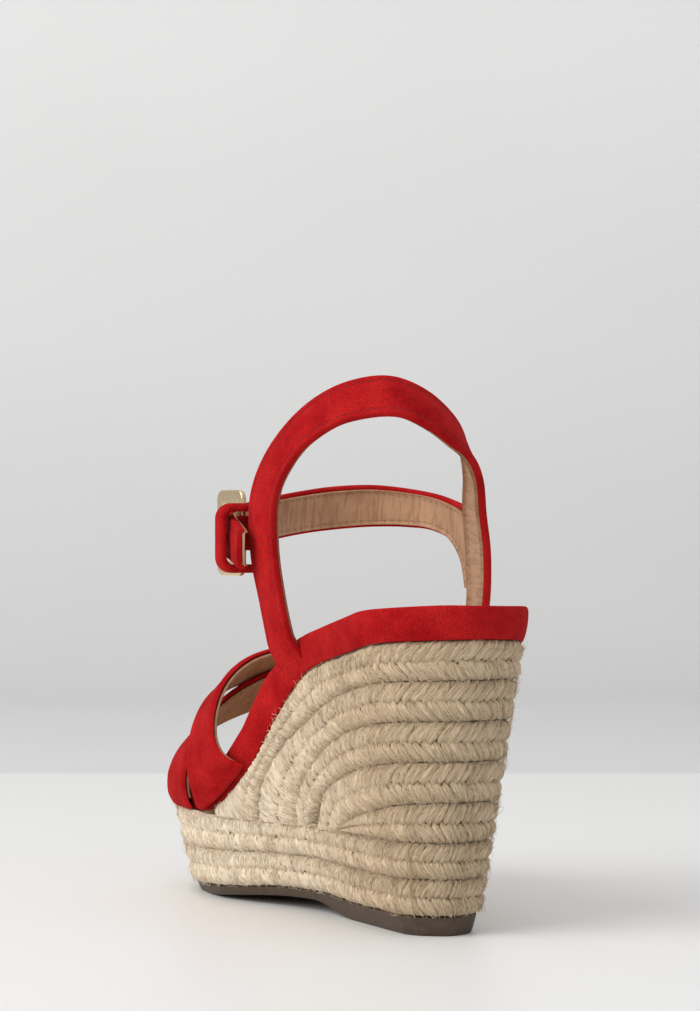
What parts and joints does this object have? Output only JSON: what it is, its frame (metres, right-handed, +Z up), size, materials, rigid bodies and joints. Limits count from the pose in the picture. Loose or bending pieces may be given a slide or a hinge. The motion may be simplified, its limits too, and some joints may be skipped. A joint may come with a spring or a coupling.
{
  "type": "wedge sandal",
  "caption": "Left-foot wedge sandal with a braided jute wedge and platform, crossed suede toe straps, and an ankle collar with a buckled front strap.",
  "frame": {"origin": "on the floor, in the middle of the shoe's footprint", "axes": "+Z up, +Y towards the toe, +X towards the inner side of the foot (left shoe), so the buckle is on the -X side"},
  "size_m": [0.097, 0.2158, 0.1757],
  "materials": {
    "suede": "napped red suede",
    "lining_leather": "smooth natural leather",
    "jute": "coarse braided fibre",
    "rubber": "matt dark brown",
    "cork": "bonded cork granules",
    "board": "pressed fibre board",
    "foam": "soft cell foam",
    "gold": "polished pale gold"
  },
  "bodies": {
    "sandal": {"outsole": "rubber", "wedge_core": "cork", "insole_board": "board", "foam_pad": "foam", "sock_lining": "lining_leather", "footbed_rand": "suede", "vamp_strap_under": "suede", "vamp_strap_over": "suede", "vamp_under_lining": "lining_leather", "vamp_over_lining": "lining_leather", "ankle_collar": "suede", "ankle_collar_lining": "lining_leather", "front_strap": "suede", "front_strap_lining": "lining_leather", "buckle_tab": "suede", "jute_braid_1": "jute", "jute_braid_2": "jute", "jute_braid_3": "jute", "jute_braid_4": "jute", "jute_braid_5": "jute", "jute_braid_6": "jute", "jute_braid_7": "jute"},
    "frame": {"buckle_frame": "gold"},
    "prong": {"buckle_prong": "gold"},
    "keeper": {"keeper_loop": "suede"}
  },
  "joints": [
    {"name": "frame_hinge", "type": "hinge", "parent": "sandal", "child": "frame", "pos_m": [-0.03827, -0.00185, 0.1249], "axis": [0, 0, 1], "range_deg": [-2, 8]},
    {"name": "prong_hinge", "type": "hinge", "parent": "frame", "child": "prong", "pos_m": [-0.03827, -0.00185, 0.1249], "axis": [0, 0, 1], "range_deg": [0, 21]},
    {"name": "keeper_slide", "type": "slide", "parent": "sandal", "child": "keeper", "axis": [0, 1, 0], "range_m": [-0.0006, 0.0016]}
  ]
}
